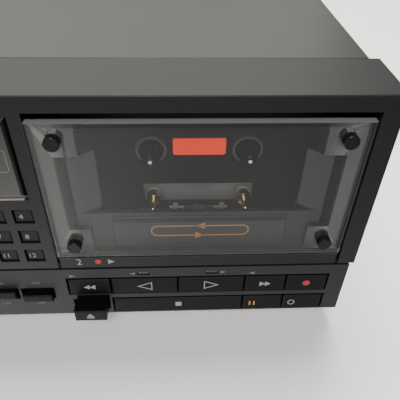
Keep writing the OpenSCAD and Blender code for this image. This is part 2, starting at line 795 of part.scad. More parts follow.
module window_cut() {
    block(-window_w / 2, window_w / 2, plate_t - eps, face_back + eps, plate_z, window_high);
    block(-window_mid_w / 2, window_mid_w / 2, plate_t - eps, face_back + eps,
        window_mid_z, window_mid_top);
}

module stud_places() {
    for (x = [-1, 1], z = [plate_z + stud_foot_in, plate_top - stud_top_in])
        translate([x * (plate_w / 2 - stud_in_x), 0, z]) children();
}

module pocket() {
    arm_out = pocket_half + arm_t;
    shelf_z = tape_z - 0.2;
    lip_t = 1.4;
    tab_x = pocket_half - tab_reach;
    tab_z = tape_z + trough_h + tab_slant - 0.1;
    tab_top = window_mid_top + 0.7;
    // Front wall with its raised panel
    block(-arm_out, arm_out, face_back - 0.1, pocket_front, plate_z - 1.5, tape_z + trough_h);
    translate([0, 0, tape_z + trough_h / 2 - 3])
        bevelled_plate(badge_w, trough_h + 2, face_back - 0.9, face_back + 0.1, 0.4);
    for (side = [0, 1]) mirror([side, 0, 0]) {
        // Side arm, from the face above the middle band to the shelf
        along_y(face_back - 0.1, pocket_back) polygon([
            [pocket_half, shelf_z - 2.4], [arm_out, shelf_z - 2.4],
            [arm_out, window_mid_top + 4], [arm_out - 1, window_mid_top + 7],
            [pocket_half + 0.8, window_mid_top + 7], [pocket_half, window_mid_top - 2]
        ]);
        // Shelf under the cassette's end, and the lip behind it
        block(floor_gap_w / 2, arm_out, pocket_front - 0.1, pocket_back, shelf_z - 2.4, shelf_z);
        block(pocket_half - 5, arm_out, pocket_back - 0.1, pocket_back + lip_t,
            shelf_z - 2.4, shelf_z + 9);
        // Slanted tab over the cassette's front
        intersection() {
            along_z(tape_z, window_high) polygon([
                [pocket_half + 0.5, face_back - 0.1], [pocket_half + 0.5, pocket_front],
                [tab_x, pocket_front], [tab_x, pocket_front - 0.8],
                [pocket_half - 1, face_back - 0.1]
            ]);
            along_y(face_back - eps, pocket_front + eps) polygon([
                [tab_x, tab_z], [tab_x, tab_top],
                [pocket_half + 0.5, tab_top - tab_slant], [pocket_half + 0.5, tab_z - tab_slant]
            ]);
        }
    }
}

module door_frame(side) {
    color("#4a4a46") on_deck(side) union() {
        difference() {
            union() {
                block(-plate_w / 2, plate_w / 2, plate_t, face_back, door_z, plate_top - face_drop);
                // Strip below the clear plate, drawn down to the lower panel at its front
                along_x(-plate_w / 2 + strip_in, plate_w / 2 - strip_in) polygon([
                    [strip_back, lower_h], [strip_back, plate_z - plate_gap],
                    [plate_t + 0.1, plate_z - plate_gap], [plate_t + 0.1, door_z],
                    [strip_back + 0.5, lower_h]
                ]);
            }
            window_cut();
            stud_places() rod_y(0, 0, plate_t - eps, face_back + eps, stud_shank_d / 2 + hole_gap);
        }
        pocket();
        rod_x(hinge_y, hinge_z, plate_w / 2 - 1, opening_w / 2 + pin_len - 0.4, pin_d / 2);
        rod_x(hinge_y, hinge_z, -opening_w / 2 - pin_len + 0.4, -plate_w / 2 + 1, pin_d / 2);
    }
}

module door_window(side) {
    color("#8f938f", 0.5) on_deck(side) difference() {
        translate([0, 0, plate_z + plate_h / 2])
            bevelled_plate(plate_w, plate_h, 0, plate_t, plate_bevel, plate_top_bevel);
        stud_places() rod_y(0, 0, -eps, plate_t + eps, stud_d / 2 + hole_gap);
    }
}

module door_studs(side) {
    r = stud_d / 2;
    color("#101010") on_deck(side) stud_places() turned_y(0, 0) polygon([
        [0, -stud_out], [r - 0.3, -stud_out], [r, -stud_out + 0.3], [r, plate_t],
        [stud_shank_d / 2, plate_t], [stud_shank_d / 2, face_back - 0.4], [0, face_back - 0.4]
    ]);
}

// Mechanisms

module mechanism_plates() {
    sill_z = head_open_z + head_open_h;
    sill_w = head_open_w + 2 * sill_past;
    sill_h = 8.6;
    color("#2a2b2c") on_panel() both_decks() difference() {
        union() {
            block(-mech_half, mech_half, mech_y, mech_y + mech_t, lower_h + 1, opening_top);
            // Raised sill over the head opening
            block(-sill_w / 2, sill_w / 2, mech_y - 0.8, mech_y + 0.1, sill_z, sill_z + sill_h);
            // Rests for the back of the cassette
            for (x = [-1, 1]) rod_y(x * rest_x, rest_z, pocket_back + 0.4, mech_y + 0.1, 2.5);
            // Bearing bosses of the spindles
            for (x = [-1, 1]) rod_y(x * reel_gap / 2, reel_z, mech_y, mech_y + mech_t + 1.6, hub_d / 2);
        }
        for (x = [-1, 1]) rod_y(x * reel_gap / 2, reel_z, mech_y - eps, mech_y + mech_t + 3,
            spindle_d / 2 + run_gap);
        block(-head_open_w / 2, head_open_w / 2, mech_y - eps, mech_y + mech_t + eps,
            head_open_z, head_open_z + head_open_h);
        block(-lamp_w / 2 - 0.1, lamp_w / 2 + 0.1, mech_y - eps, mech_y + 1.2,
            lamp_z - lamp_h / 2 - 0.1, lamp_z + lamp_h / 2 + 0.1);
    }
}

module lamp_windows() {
    color("#d9582f") on_panel() both_decks() translate([0, 0, lamp_z])
        rounded_plate(lamp_w, lamp_h, mech_y - 0.6, mech_y + 1.2, lamp_r);
}

module mechanism_chassis() {
    color("#b9bab6") on_panel() both_decks() difference() {
        union() {
            block(-mech_half + 6, mech_half - 6, chassis_y, chassis_y + chassis_t,
                lower_h + 3, opening_top - 3);
            for (x = [-1, 1], z = [lower_h + 6, opening_top - 6])
                rod_y(x * (mech_half - 10), z, mech_y + mech_t, chassis_y + 0.1, 3);
            for (x = [-1, 1]) rod_y(x * reel_gap / 2, capstan_z, chassis_y - 4, chassis_y + 0.1, 3.6);
        }
        for (x = [-1, 1]) rod_y(x * reel_gap / 2, capstan_z, chassis_y - 5, chassis_y + chassis_t + 1,
            capstan_d / 2 + run_gap);
    }
}

module drive_motors() {
    motor_front = chassis_y + chassis_t;
    color("#9a9c9e") on_panel() both_decks() turned_y(0, reel_z + 12) polygon([
        [0, motor_front], [motor_d / 2, motor_front], [motor_d / 2, motor_front + motor_l - 2],
        [motor_d / 2 - 2, motor_front + motor_l], [4, motor_front + motor_l],
        [4, motor_front + motor_l + 3], [0, motor_front + motor_l + 3]
    ]);
}

module spindle(side, hand) {
    flange_front = mech_y - 3.8;
    flange_back = mech_y - 0.3;
    core_r = 3.2;
    color("#161616") on_deck(side) translate([hand * reel_gap / 2, 0, reel_z]) union() {
        turned_y(0, 0) polygon([
            [0, tip_y], [1.8, tip_y], [core_r - 0.6, tip_y + 0.8], [core_r, tip_y + 1.8],
            [core_r, flange_front], [hub_d / 2 - 0.5, flange_front], [hub_d / 2, flange_front + 0.5],
            [hub_d / 2, flange_back], [spindle_d / 2, flange_back],
            [spindle_d / 2, mech_y + mech_t + 1.6], [0, mech_y + mech_t + 1.6]
        ]);
        // Six vanes that turn the reel
        for (turn = [30 : 60 : 330]) rotate([0, turn, 0]) along_z(-0.7, 0.7) polygon([
            [0, tip_y + 1.6], [core_r - 0.2, tip_y + 1.6], [vane_d / 2, tip_y + 3],
            [vane_d / 2, flange_front + 0.1], [0, flange_front + 0.1]
        ]);
    }
}

module capstan(side, hand) {
    wheel_y = chassis_y + chassis_t + 0.6;
    collar_front = chassis_y - 8.6;
    collar_back = chassis_y - 4.4;
    color("#b58a4a") on_deck(side) turned_y(hand * reel_gap / 2, capstan_z) polygon([
        [0, tip_y - 1], [capstan_d / 2 - 0.3, tip_y - 1], [capstan_d / 2, tip_y - 0.7],
        [capstan_d / 2, collar_front], [collar_d / 2, collar_front],
        [collar_d / 2, collar_back], [capstan_d / 2, collar_back],
        [capstan_d / 2, wheel_y], [flywheel_d / 2, wheel_y],
        [flywheel_d / 2, wheel_y + 4], [0, wheel_y + 4]
    ]);
}

module head_carriage(side) {
    back = mech_y - 0.4;
    front = back - 1.8;
    head_top = capstan_z - 4;
    plate_low = roller_z - roller_d / 2 + 0.5;
    head_front = pocket_front + tape_t / 3;
    head_r = 0.46 * tape_head_w;
    color("#5d6062") on_deck(side) {
        difference() {
            union() {
                block(-carriage_w / 2, carriage_w / 2, front, back, plate_low, roller_z + 2.4);
                block(-guide_gap / 2 - 3, guide_gap / 2 + 3, front, back, plate_low, head_top - 2);
                // Head block with its rounded, polished face
                block(-tape_head_w / 2, tape_head_w / 2, head_front, front + 0.1,
                    plate_low + 2, head_top - 0.3 * tape_head_w);
                rod_y(0, head_top - head_r, head_front, front + 0.1, head_r);
                // Tape guides at either side of the head
                for (x = [-1, 1]) translate([x * guide_gap / 2, 0, 0])
                    block(-1.2, 1.2, head_front + 1, front + 0.1, plate_low + 2, head_top + 1);
                // Pinch rollers on their axles
                for (x = [-1, 1]) {
                    rod_y(x * reel_gap / 2, roller_z, head_front + 0.6, front - 1.6, roller_d / 2);
                    rod_y(x * reel_gap / 2, roller_z, head_front - 0.2, front + 0.1, 1.5);
                }
            }
            // Gap of the head, across its face
            block(-0.4, 0.4, head_front - 1, front - 1, head_top - 0.6, head_top + 2);
        }
    }
}

// Keys and controls

// A key in an aperture of the given size: cap, hook behind the panel, and stem
module key_solid(w, h, y_face, y_wall_back, hook, y_stem) {
    union() {
        bevelled_plate(w, h, y_face, y_wall_back + hook_gap + hook_t, key_cut);
        block(-w / 2 + key_clear, w / 2 - key_clear, y_wall_back + hook_gap,
            y_wall_back + hook_gap + hook_t, 0, h / 2 + hook);
        block(-stem_w / 2, stem_w / 2, y_wall_back + hook_t, y_stem, -stem_w / 2, stem_w / 2);
    }
}

module transport_key(side, first, last, z, h) {
    key_h = h - key_clear - key_gap_top;
    gap = key_clear / 2 + 0.15;
    x0 = cell_edges[first] + gap;
    x1 = cell_edges[last + 1] - gap;
    color("#1b1c1d") on_deck(side) translate([(x0 + x1) / 2, 0, z])
        key_solid(x1 - x0, key_h, recess - key_proud, lower_back, key_gap_top + hook_h, key_stem_y);
}
module upper_key(side, cell) {
    transport_key(side, cell, cell, row1_mid, row1_h);
}
module lower_key(side, first, last) {
    transport_key(side, first, last, row2_mid, row2_h);
}

module eject_bar(side) {
    hook_y = lower_back + 0.3;
    color("#1f2021") on_deck(side) translate([eject_x, 0, eject_z + eject_h / 2]) union() {
        bevelled_plate(eject_w, eject_h, -eject_out, hook_y + 0.1, key_cut);
        block(-eject_w / 2 - 2.2, eject_w / 2, hook_y, hook_y + 1.4, -eject_h / 2 + 1, eject_h / 2 - 0.5);
        block(-3, 3, hook_y + 1.3, key_stem_y - 2, -1.5, 1.5);
    }
}

module number_key(i) {
    w = well_w - 2 * key_clear;
    h = well_h - key_clear - pad_gap_top;
    color("#191a1b") on_panel() translate([well_x(i), 0, well_z(i) + (key_clear - pad_gap_top) / 2])
        key_solid(w, h, pad_back, panel_wall, pad_gap_top + hook_h / 2, panel_wall + stem_l / 2);
}

module power_key() {
    color("#1b1c1d") on_panel() translate([-power_x, 0, dial_z])
        key_solid(power_w, power_h, recess - 1, lower_back, key_clear + hook_h, key_stem_y);
}

module level_dial() {
    r = dial_d / 2;
    back = recess - 0.3;
    groove_r = 0.5;
    grooves = 30;
    color("#1c1d1e") on_panel() difference() {
        turned_y(dial_x, dial_z) polygon([
            [0, -dial_out], [r - 2, -dial_out], [r - 1.2, -dial_out + 0.8],
            [r, back - 1], [r, back], [dial_shaft_d / 2, back],
            [dial_shaft_d / 2, dial_back], [0, dial_back]
        ]);
        for (i = [1 : grooves - 1]) translate([dial_x, 0, dial_z]) rotate([0, i * 360 / grooves, 0])
            rod_y(0, r + 0.1, -dial_out - 1, back + 0.1, groove_r);
    }
}

module selector_lever(i) {
    color("#2b2d2e") on_panel() translate([lever_x(i), 0, lever_rest_z(i)]) union() {
        bevelled_plate(lever_w, lever_h, 0, lower_back - 0.6, 0.5);
        block(-lever_arm_w / 2, lever_arm_w / 2, lower_back - 0.7, lever_y + 2.4, -1.7, 1.7);
        rod_x(lever_y, 0, -lever_arm_w / 2 - 2.3, lever_arm_w / 2 + 2.3, 1.5);
    }
}

chassis_pan();
top_cover();
upper_fascia();
lower_fascia();
display_window();
mechanism_plates();
mechanism_chassis();
lamp_windows();
drive_motors();
circuit_boards();
sockets();
feet();
case_screws();
door_frame(-1);  // door_frame_a
door_window(-1);  // door_window_a
door_studs(-1);  // door_studs_a
door_frame(1);  // door_frame_b
door_window(1);  // door_window_b
door_studs(1);  // door_studs_b
spindle(-1, -1);  // spindle_left_a
spindle(-1, 1);  // spindle_right_a
spindle(1, -1);  // spindle_left_b
spindle(1, 1);  // spindle_right_b
capstan(-1, -1);  // capstan_left_a
capstan(-1, 1);  // capstan_right_a
capstan(1, -1);  // capstan_left_b
capstan(1, 1);  // capstan_right_b
head_carriage(-1);  // head_carriage_a
head_carriage(1);  // head_carriage_b
for (i = [1 : 12]) number_key(i);
upper_key(-1, 0);  // rewind_key_a
upper_key(-1, 1);  // reverse_key_a
upper_key(-1, 2);  // forward_key_a
upper_key(-1, 3);  // wind_key_a
lower_key(-1, 1, 2);  // stop_key_a
eject_bar(-1);  // eject_bar_a
upper_key(1, 0);  // rewind_key_b
upper_key(1, 1);  // reverse_key_b
upper_key(1, 2);  // forward_key_b
upper_key(1, 3);  // wind_key_b
upper_key(1, 4);  // record_key_b
lower_key(1, 1, 2);  // stop_key_b
lower_key(1, 3, 3);  // pause_key_b
lower_key(1, 4, 4);  // mute_key_b
eject_bar(1);  // eject_bar_b
power_key();
level_dial();
selector_lever(1);  // selector_lever_1
selector_lever(2);  // selector_lever_2
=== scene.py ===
"""Looks of a double cassette deck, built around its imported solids.

The camera stands where the photograph was taken from. Every solid gets a finish made of nodes, and
the printed marks, numerals, indicator lenses and spindle caps are new pieces on top of the solids.
Lengths are in millimetres, apart from meshes, camera, lights and floor: those are in metres, in
the deck's own frame.
"""

import json
import math

import bmesh
import bpy
import numpy as np
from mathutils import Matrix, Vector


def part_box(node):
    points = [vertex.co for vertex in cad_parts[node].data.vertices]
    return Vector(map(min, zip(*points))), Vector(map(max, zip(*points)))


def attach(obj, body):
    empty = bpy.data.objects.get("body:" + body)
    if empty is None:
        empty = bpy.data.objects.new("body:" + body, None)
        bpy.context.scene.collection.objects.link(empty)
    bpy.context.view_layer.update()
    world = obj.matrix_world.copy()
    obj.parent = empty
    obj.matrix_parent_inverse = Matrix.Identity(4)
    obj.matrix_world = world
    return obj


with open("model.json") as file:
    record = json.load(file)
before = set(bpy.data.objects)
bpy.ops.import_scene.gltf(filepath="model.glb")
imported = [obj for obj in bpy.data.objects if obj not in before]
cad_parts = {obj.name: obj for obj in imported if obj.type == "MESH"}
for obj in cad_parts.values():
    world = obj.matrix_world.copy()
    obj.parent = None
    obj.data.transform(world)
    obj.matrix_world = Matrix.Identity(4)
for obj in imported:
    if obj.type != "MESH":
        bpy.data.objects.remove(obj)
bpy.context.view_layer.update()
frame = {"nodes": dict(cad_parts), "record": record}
scene = bpy.context.scene
MM = 0.001

# Camera, fitted to the edges of the panel in the photograph

CAMERA_PLACE = (0.13384, -0.28430, 0.20526)
CAMERA_TURNS_DEG = (50.4087, -1.0736, -2.3865)
CAMERA_LENS_MM = 40.761
SENSOR_MM = 36
NEAREST_SEEN_M = 0.01

camera_data = bpy.data.cameras.new("camera")
camera_data.sensor_width = SENSOR_MM
camera_data.lens = CAMERA_LENS_MM
camera_data.clip_start = NEAREST_SEEN_M
camera = bpy.data.objects.new("camera", camera_data)
camera.location = CAMERA_PLACE
camera.rotation_euler = [math.radians(turn) for turn in CAMERA_TURNS_DEG]
scene.collection.objects.link(camera)
scene.camera = camera


# Places. Heights are over the panel's lower edge, and depths are behind its face.

FRONT_Y_MM = -142.5     # the panel's face in the deck's frame
BASE_Z_MM = 11.0        # the panel's lower edge in the deck's frame
DOOR_X_MM = 142.65      # a door's middle from the deck's middle


# Finishes

class Value:
    """A socket that takes part in Python arithmetic. Each operator adds one Math node."""

    def __init__(self, nodes, socket):
        self.nodes = nodes
        self.socket = socket

    def math(self, operation, *terms):
        return self.nodes.node("ShaderNodeMath", {"operation": operation}, dict(enumerate(terms)))

    def __add__(self, other):
        return self.math("ADD", self, other)

    def __sub__(self, other):
        return self.math("SUBTRACT", self, other)

    def __rsub__(self, other):
        return self.math("SUBTRACT", other, self)

    def __mul__(self, other):
        return self.math("MULTIPLY", self, other)

    __radd__ = __add__
    __rmul__ = __mul__

    def size(self):
        return self.math("ABSOLUTE", self)

    def larger(self, other):
        return self.math("MAXIMUM", self, other)

    def above(self, edge, soft):
        """0 below edge - soft and 1 above edge + soft, with a smooth step between."""
        return self.nodes.node(
            "ShaderNodeMapRange", {"interpolation_type": "SMOOTHSTEP"},
            {"Value": self, "From Min": edge - soft, "From Max": edge + soft})

    def below(self, edge, soft):
        """1 below the edge and 0 above it."""
        return 1 - self.above(edge, soft)

    def within(self, low, high, soft):
        """1 between low and high, and 0 outside them."""
        return self.above(low, soft) * self.below(high, soft)


class Nodes:
    """A node tree that takes one call for each node."""

    def __init__(self, tree):
        self.tree = tree

    def node(self, kind, settings=None, sockets=None, out=0):
        """Adds a node: its settings first, then its sockets' values or links. Gives one output."""
        made = self.tree.nodes.new(kind)
        for name, value in (settings or {}).items():
            setattr(made, name, value)
        self.join(made, sockets or {})
        return Value(self, made.outputs[out])

    def join(self, made, sockets):
        """Links each socket that is given a Value, and sets the others."""
        for name, value in sockets.items():
            if isinstance(value, Value):
                self.tree.links.new(value.socket, made.inputs[name])
            else:
                made.inputs[name].default_value = value

    def split(self, vector):
        """A vector's X, Y and Z."""
        return [self.node("ShaderNodeSeparateXYZ", sockets={0: vector}, out=i) for i in range(3)]


MIX_SHARE, MIX_FIRST, MIX_SECOND, MIX_RESULT = 0, 6, 7, 2   # a Mix node's sockets for colours
SOCKET_NAMES = {"ior": "IOR", "ior_level": "Specular IOR Level"}


class Finish(Nodes):
    """One material: a Principled shader, the nodes that feed it and constants on its sockets."""

    def __init__(self, name, **constants):
        self.material = bpy.data.materials.new(name)
        self.material.use_nodes = True
        super().__init__(self.material.node_tree)
        self.tree.nodes.clear()
        self.shader = self.tree.nodes.new("ShaderNodeBsdfPrincipled")
        output = self.tree.nodes.new("ShaderNodeOutputMaterial")
        self.tree.links.new(self.shader.outputs[0], output.inputs["Surface"])
        self.feed(**constants)

    def feed(self, **sockets):
        """Sets or links the shader's own sockets: base_color feeds Base Color, and so on."""
        self.join(self.shader, {
            SOCKET_NAMES.get(key, key.replace("_", " ").title()): value
            for key, value in sockets.items()})
        return self.material

    def place(self):
        return self.node("ShaderNodeTexCoord", out="Object")

    def facing(self):
        """The surface's own direction, as X, Y and Z shares."""
        return self.split(self.node("ShaderNodeTexCoord", out="Normal"))

    def millimetres(self):
        """The point on the surface, as X, Y and Z in millimetres."""
        return [share * (1 / MM) for share in self.split(self.place())]

    def noise(self, grain_mm, detail=2.0, stretch=(1, 1, 1)):
        """Noise from 0 to 1 with grains of about that size, drawn out along an axis by stretch."""
        place = self.node("ShaderNodeMapping", sockets={
            "Vector": self.place(), "Scale": [1 / (s * grain_mm * MM) for s in stretch]})
        return self.node("ShaderNodeTexNoise", sockets={
            "Vector": place, "Scale": 1.0, "Detail": detail})

    def mix(self, share, first, second):
        """first where share is 0 and second where it is 1, both colours."""
        def colour(value):
            return value if isinstance(value, Value) else (*value, 1.0)
        return self.node("ShaderNodeMix", {"data_type": "RGBA"}, {
            MIX_SHARE: share, MIX_FIRST: colour(first), MIX_SECOND: colour(second)}, MIX_RESULT)

    def relief(self, height, strength, depth_mm, edge_mm=0.25):
        """Feeds Normal with edges rounded to edge_mm and a bump of that height over them."""
        edge = self.node("ShaderNodeBevel", {"samples": 4}, {"Radius": edge_mm * MM})
        normal = self.node("ShaderNodeBump", sockets={
            "Height": height, "Strength": strength, "Distance": depth_mm * MM, "Normal": edge})
        self.feed(normal=normal)


def grey(level, warm=0.0):
    """A grey of that level, made warmer or, below 0, cooler."""
    return (level * (1 + warm), level, level * (1 - warm))


def shades(colour, *levels):
    """The colour at each of those levels."""
    return [tuple(level * part for part in colour) for level in levels]


def dust(finish, share):
    """Fine pale specks on faces that look up: the peaks of a fine noise."""
    specks = finish.noise(0.9, detail=1).above(0.735, 0.02)
    return specks * finish.facing()[2].above(0.6, 0.2) * share


def moulded_plastic(name, colour, roughness, grain_mm=0.35, ior_level=0.5):
    """Satin moulded plastic: slow shade changes, a fine grain and uneven gloss."""
    finish = Finish(name, ior_level=ior_level)
    cloud = finish.noise(45, detail=3)
    grain = finish.noise(grain_mm)
    shade = finish.mix(cloud, *shades(colour, 0.86, 1.14))
    finish.relief(grain, 0.07, 0.05)
    return finish.feed(base_color=shade, roughness=roughness - 0.05 + 0.1 * cloud + 0.04 * grain)


def key_plastic(name):
    """Satin black plastic of the keys, a little paler on the number keys of the upper panel."""
    number_pad_foot = 40
    finish = Finish(name, ior_level=0.14)
    height = finish.millimetres()[2] - BASE_Z_MM
    cloud = finish.noise(45, detail=3)
    grain = finish.noise(0.25)
    shade = finish.mix(cloud, grey(0.0026, -0.02), grey(0.0034, -0.02))
    shade = finish.mix(height.above(number_pad_foot, 1), shade, grey(0.016, -0.03))
    finish.relief(grain, 0.07, 0.05)
    return finish.feed(base_color=shade, roughness=0.45 + 0.1 * cloud + 0.04 * grain)


def panel_plastic(name, colour):
    """The upper panel's satin plastic. Painted light makes the left wall of each door opening
    paler near its front, and a painted reflection makes the sill under the display pale."""
    opening_wall = (64.0, 65.0)         # from a door's middle
    lit_wall_depth = 1.3
    sill_height, sill_half_width = (70, 100), 71.7
    sill_depth, sill_lip_depth = 2.6, 1.2
    finish = Finish(name, ior_level=0.3)
    x, y, z = finish.millimetres()
    facing_x, _, facing_z = finish.facing()
    cloud = finish.noise(45, detail=3)
    grain = finish.noise(0.35)
    shade = finish.mix(cloud, *shades(colour, 0.86, 1.14))
    shade = finish.mix(dust(finish, 0.15), shade, grey(0.35))
    # Painted light: the opening's wall lies in shade, so it is painted paler near its front edge.
    beside = (x.size() - DOOR_X_MM).size().within(*opening_wall, 0.1)
    painted_wall_light = beside * facing_x.above(0.8, 0.1) * y.below(FRONT_Y_MM + lit_wall_depth, 0.3)
    shade = finish.mix(painted_wall_light, shade, grey(0.2, -0.03))
    # Painted reflection: the upward sill under the display is painted pale pink near its front lip
    # and grey behind it, for the light it reflects.
    sill = (z - BASE_Z_MM).within(*sill_height, 0.5) * facing_z.above(0.8, 0.1)
    sill = sill * x.size().below(sill_half_width, 0.4) * y.below(FRONT_Y_MM + sill_depth, 0.3)
    behind_lip = y.above(FRONT_Y_MM + sill_lip_depth, 0.15)
    pale = finish.mix(behind_lip, (0.36, 0.32, 0.31), grey(0.1, 0.03))
    shade = finish.mix(sill, shade, pale)
    finish.relief(grain, 0.07, 0.05, edge_mm=0.15)
    return finish.feed(base_color=shade, roughness=0.37 + 0.1 * cloud + 0.04 * grain)


def painted_steel(name, colour):
    """Baked enamel on sheet steel: an even colour, faint orange peel and fine dust."""
    finish = Finish(name, ior_level=0.5)
    peel = finish.noise(1.1, detail=1)
    cloud = finish.noise(70, detail=3)
    shade = finish.mix(cloud, *shades(colour, 0.9, 1.1))
    shade = finish.mix(dust(finish, 0.2), shade, grey(0.3))
    finish.relief(peel, 0.05, 0.06, edge_mm=0.4)
    return finish.feed(base_color=shade, roughness=0.3 + 0.1 * cloud)


def rolled_metal(name, colour, roughness):
    """Plated sheet with fine rolling lines and patches of different gloss."""
    finish = Finish(name, metallic=0.5)
    lines = finish.noise(0.4, detail=3, stretch=(1, 12, 12))
    cloud = finish.noise(14, detail=4)
    shade = finish.mix(cloud, *shades(colour, 0.8, 1))
    finish.relief(lines, 0.1, 0.03)
    return finish.feed(base_color=shade, roughness=roughness + 0.15 * lines)


def glossy_plastic(name, colour, roughness, ior_level=0.5):
    """Polished plastic: faint moulding waves and slightly uneven gloss."""
    finish = Finish(name, ior_level=ior_level)
    waves = finish.noise(6)
    shade = finish.mix(waves, *shades(colour, 0.85, 1.15))
    finish.relief(waves, 0.03, 0.1, edge_mm=0.3)
    return finish.feed(base_color=shade, roughness=roughness + 0.08 * waves)


def ink(name, colour):
    """Screen-printed ink: an even colour with the mesh's fine mottle."""
    finish = Finish(name, ior_level=0.3)
    mottle = finish.noise(0.3)
    shade = finish.mix(mottle, *shades(colour, 0.8, 1.1))
    finish.relief(mottle, 0.1, 0.02, edge_mm=0.02)
    return finish.feed(base_color=shade, roughness=0.45 + 0.15 * mottle)


def smoked_door(name):
    """Clear smoked acrylic: the flat faces let most light through under a thin haze, partly the
    smoke tint and partly a painted reflection that is paler towards one side. Near the outer edges
    the face is denser and grey, a painted stand-in for the lit wall of the opening seen through
    it.
    The cut top is dense and pale, partly a painted sheen, and a paler band with two pale lines of
    painted highlight marks the cut foot."""
    near_top, near_foot = 100, 60
    rim_from_middle = 62.8
    foot_band, lower_line, upper_line = (43.5, 47.5), (44.8, 45.3), (46.8, 47.2)
    finish = Finish(name, ior=1.8)
    x, _, z = finish.millimetres()
    height = z - BASE_Z_MM
    from_middle = x.size() - DOOR_X_MM
    inwards = 0 - from_middle
    _, facing_y, facing_z = finish.facing()
    level = facing_z.size().above(0.9, 0.05)
    # Partly painted sheen: the cut top is dense and pale, as it catches the light from above.
    top = level * height.above(near_top, 1)
    under = level * height.below(near_foot, 1)
    front = facing_y.size().above(0.5, 0.1)
    # Painted light: near the outer edges the face is denser and grey, standing in for the lit wall
    # of the opening seen through the plate.
    rim = from_middle.size().above(rim_from_middle, 0.1) * front
    # Painted highlight: a paler, denser band and two pale lines along the cut foot.
    foot = (0.8 * height.within(*foot_band, 0.3) + height.within(*lower_line, 0.15)
            + 0.7 * height.within(*upper_line, 0.15)) * front
    cloud = finish.noise(30, detail=3)
    # Painted reflection: the haze is paler on the side of each door nearer the deck's middle, and
    # palest near that edge.
    shade = finish.mix(inwards.above(35, 30), grey(0.13, -0.01), grey(0.2, 0.01))
    shade = finish.mix(inwards.above(56, 6), shade, grey(0.34, 0.02))
    shade = finish.mix(rim, shade, grey(0.06, 0.02))
    shade = finish.mix(foot, shade, grey(0.16, 0.03))
    shade = finish.mix(top, shade, grey(0.27, 0.02))
    finish.relief(cloud, 0.02, 0.2, edge_mm=0.1)
    density = 0.13 + 0.03 * cloud + 0.12 * foot + 0.4 * rim + 0.65 * top
    return finish.feed(
        base_color=shade, roughness=0.02 + 0.02 * cloud + 0.12 * top, alpha=density * (1 - under))


def smoked_display(name):
    """Dark tinted window with black side edges. Its lower cut edge has a painted glow that stands
    in for the light the clear plate carries down to it."""
    front_edge_depth = 1.3
    finish = Finish(name, ior_level=0.6, emission_strength=1.0)
    depth = finish.millimetres()[1] - FRONT_Y_MM
    facing_x, _, facing_z = finish.facing()
    haze = finish.noise(40, detail=3)
    foot = (0 - facing_z).above(0.3, 0.05)
    shade = finish.mix(haze, grey(0.033, 0.08), grey(0.045, 0.08))
    shade = finish.mix(facing_x.size().above(0.3, 0.05), shade, grey(0.003))
    # Painted glow on the downward cut faces: faint at the front edge, pale pink behind it.
    behind_edge = depth.above(front_edge_depth, 0.15)
    glow = finish.mix(behind_edge, grey(0.06, 0.02), (0.26, 0.22, 0.22))
    glow = finish.mix(foot, grey(0.0), glow)
    finish.relief(haze, 0.02, 0.2, edge_mm=0.15)
    return finish.feed(base_color=shade, roughness=0.08 + 0.06 * haze, emission_color=glow)


def door_plastic(name):
    """The door's moulding: warm grey face, painted paler on its outer border as painted light;
    walls and pocket behind it darkened as painted shade; a painted shadow band over the trough's
    raised panel; painted shade on upward faces and the top rail; and a black lower strip."""
    lit_border_from_middle = 53
    wall_depth, pocket_depth = 4.4, 6.5
    band_height, band_depth, band_half_width = (59.5, 65.6), (5.0, 6.4), 38.2
    rail_height, rail_half_width = 106.9, 47.5
    strip_height = 43.7
    finish = Finish(name, ior_level=0.3)
    x, y, z = finish.millimetres()
    depth = y - FRONT_Y_MM
    height = z - BASE_Z_MM
    off_middle = (x.size() - DOOR_X_MM).size()
    cloud = finish.noise(35, detail=3)
    grain = finish.noise(0.4)
    # Painted shade: upward faces and the top rail, which lie in the shade of the panel above, are
    # painted dark.
    shaded_upward = finish.facing()[2].above(0.7, 0.1)
    rail = height.above(rail_height, 0.1) * off_middle.below(rail_half_width, 0.5)
    # Painted light: the outer border is painted paler than the face inside it, against the shade
    # that the opening's walls cast.
    corner = off_middle.above(lit_border_from_middle, 4)
    shade = finish.mix(corner, grey(0.085, 0.01), grey(0.21, 0.01))
    # Painted shade: faces deeper than the door's face, in its walls and pocket, are painted
    # darker.
    shade = finish.mix(depth.above(wall_depth, 0.2), shade, grey(0.046, 0.01))
    shade = finish.mix(depth.above(pocket_depth, 0.2), shade, grey(0.037, 0.01))
    # Painted shadow: a dark band over the trough's raised panel.
    painted_shadow_band = height.within(*band_height, 0.3) * depth.within(*band_depth, 0.1)
    painted_shadow_band = painted_shadow_band * off_middle.below(band_half_width, 0.2)
    shade = finish.mix(painted_shadow_band, shade, grey(0.012, 0.01))
    shade = finish.mix(shaded_upward.larger(rail), shade, grey(0.015))
    shade = finish.mix(height.below(strip_height, 0.1), shade, grey(0.006))
    finish.relief(grain, 0.04, 0.04, edge_mm=0.1)
    return finish.feed(base_color=shade, roughness=0.42 + 0.1 * cloud)


def capstan_metal(name):
    """Turned metal: a brass collar at the front and a polished steel shaft and wheel behind it."""
    collar_depth = (22.0, 27.5)
    finish = Finish(name, metallic=1.0)
    depth = finish.millimetres()[1] - FRONT_Y_MM
    rings = finish.noise(0.25, stretch=(40, 1, 40))
    brass = depth.within(*collar_depth, 0.1)
    shade = finish.mix(brass, grey(0.55), (0.62, 0.40, 0.16))
    finish.relief(rings, 0.08, 0.02, edge_mm=0.15)
    return finish.feed(base_color=shade, roughness=0.16 + 0.14 * rings)


